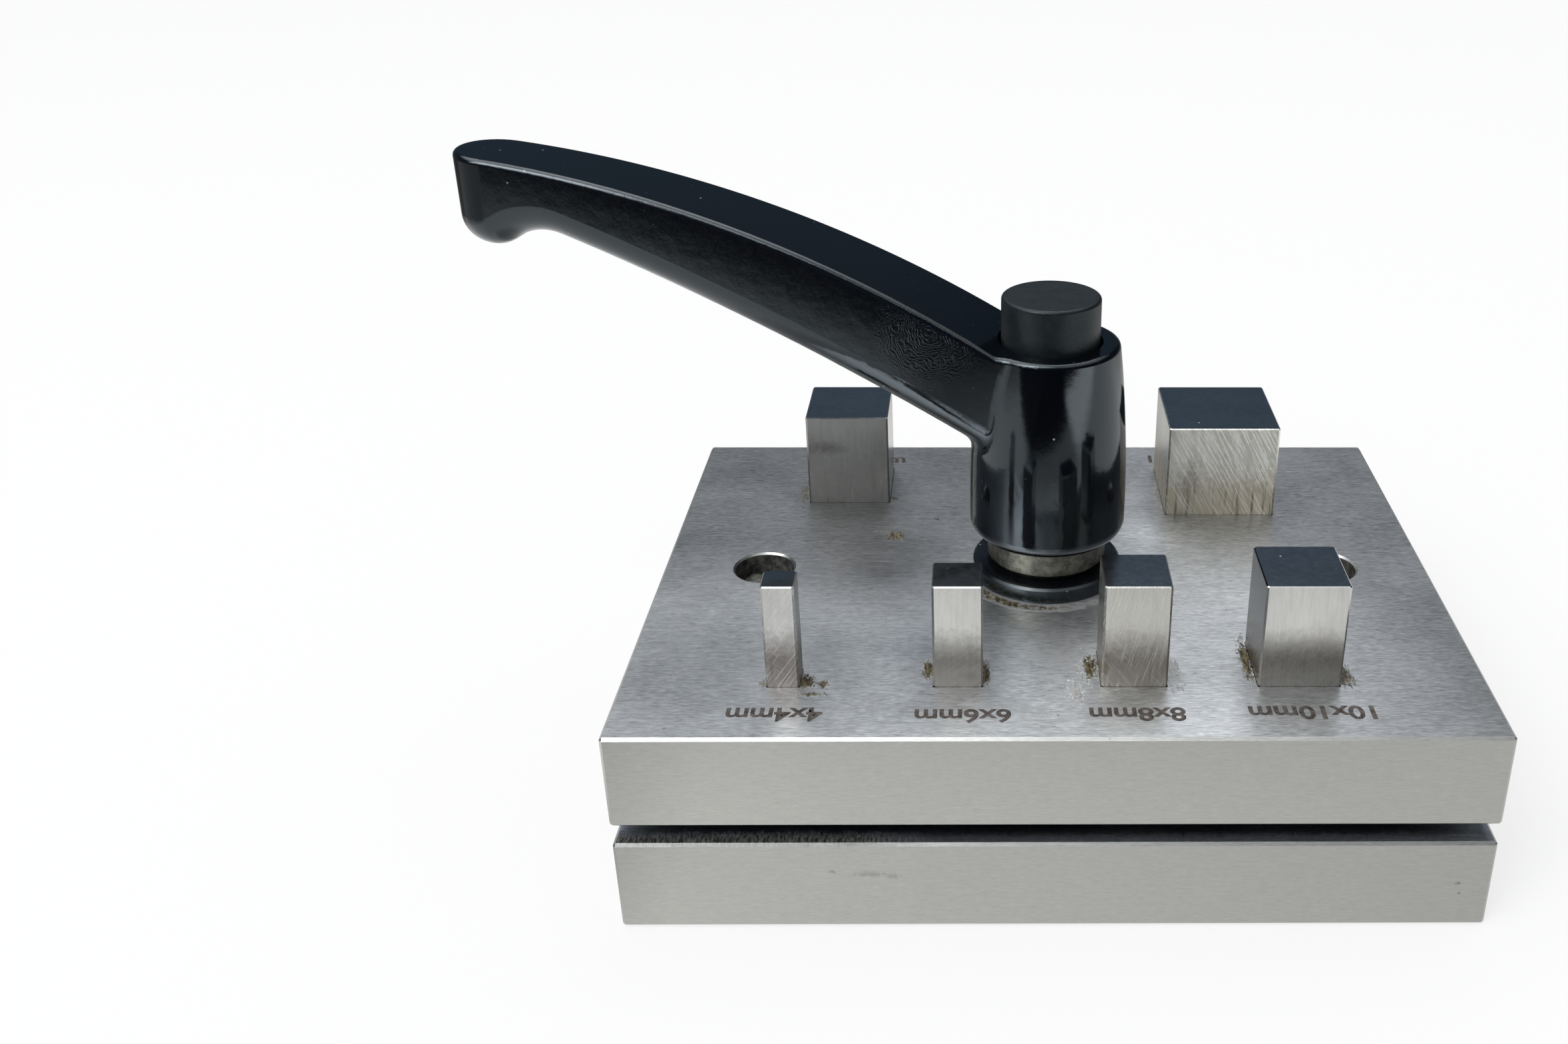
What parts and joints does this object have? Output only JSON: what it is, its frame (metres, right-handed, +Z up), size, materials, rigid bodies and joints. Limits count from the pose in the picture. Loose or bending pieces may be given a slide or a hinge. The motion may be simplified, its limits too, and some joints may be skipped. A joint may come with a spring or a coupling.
{
  "type": "square disc cutter",
  "caption": "Press tool for cutting small square blanks: a die plate and a guide plate with a sheet slot between them, loose square punches, and a screw with an adjustable clamping lever.",
  "frame": {"origin": "middle of the die plate's underside, under the clamping screw, on the surface that the cutter stands on", "axes": "+X to the right along the plates' long side, with the larger punches on the right; +Y from the edge with the four small punches to the back; +Z up along the screw, the guide pins and the punches"},
  "size_m": [0.1295, 0.08, 0.0827],
  "materials": {
    "plate_steel": "ground along the length, lightly oiled",
    "punch_steel": "hardened, ground and lightly oiled",
    "pin_steel": "turned, darkened by oil",
    "spring_steel": "drawn spring wire",
    "insert_steel": "turned, dull olive grey",
    "screw_steel": "darkened machine screw steel",
    "black_oxide": "glossy black finish on steel",
    "black_paint": "glossy black paint on a cast lever",
    "button_plastic": "grainy matte plastic"
  },
  "bodies": {
    "base": {"lower_plate": "plate_steel", "left_guide_pin": "pin_steel", "right_guide_pin": "pin_steel", "lift_spring": "spring_steel"},
    "guide_plate": {"upper_plate": "plate_steel", "thrust_washer": "black_oxide"},
    "clamp": {"clamp_screw": "screw_steel", "lever_insert": "insert_steel", "retaining_screw": "screw_steel", "release_button": "button_plastic", "lever_spring": "spring_steel"},
    "lever": {"clamp_lever": "black_paint"},
    "punch_4mm_body": {"punch_4mm": "punch_steel"},
    "punch_6mm_body": {"punch_6mm": "punch_steel"},
    "punch_8mm_body": {"punch_8mm": "punch_steel"},
    "punch_10mm_body": {"punch_10mm": "punch_steel"},
    "punch_12mm_body": {"punch_12mm": "punch_steel"},
    "punch_16mm_body": {"punch_16mm": "punch_steel"}
  },
  "joints": [
    {"name": "clamp_turn", "type": "hinge", "parent": "guide_plate", "child": "clamp", "pos_m": [0, 0, 0.0276], "axis": [0, 0, 1], "range_deg": [-540, 360]},
    {"name": "plate_lift", "type": "slide", "parent": "base", "child": "guide_plate", "axis": [0, 0, 1], "range_m": [-0.00226, 0.00151], "deforming": ["lift_spring"]},
    {"name": "lever_lift", "type": "slide", "parent": "clamp", "child": "lever", "axis": [0, 0, 1], "range_m": [0, 0.0042], "stiffness_N_per_m": 900, "springref_m": -0.004, "deforming": ["lever_spring"]},
    {"name": "punch_4mm_slide", "type": "slide", "parent": "base", "child": "punch_4mm_body", "axis": [0, 0, 1], "range_m": [0, 0.022]},
    {"name": "punch_6mm_slide", "type": "slide", "parent": "base", "child": "punch_6mm_body", "axis": [0, 0, 1], "range_m": [0, 0.022]},
    {"name": "punch_8mm_slide", "type": "slide", "parent": "base", "child": "punch_8mm_body", "axis": [0, 0, 1], "range_m": [0, 0.022]},
    {"name": "punch_10mm_slide", "type": "slide", "parent": "base", "child": "punch_10mm_body", "axis": [0, 0, 1], "range_m": [0, 0.022]},
    {"name": "punch_12mm_slide", "type": "slide", "parent": "base", "child": "punch_12mm_body", "axis": [0, 0, 1], "range_m": [0, 0.022]},
    {"name": "punch_16mm_slide", "type": "slide", "parent": "base", "child": "punch_16mm_body", "axis": [0, 0, 1], "range_m": [0, 0.022]}
  ],
  "couplings": [
    {"joint": "plate_lift", "follows": "clamp_turn", "m_per_rad": 0.00023873}
  ]
}
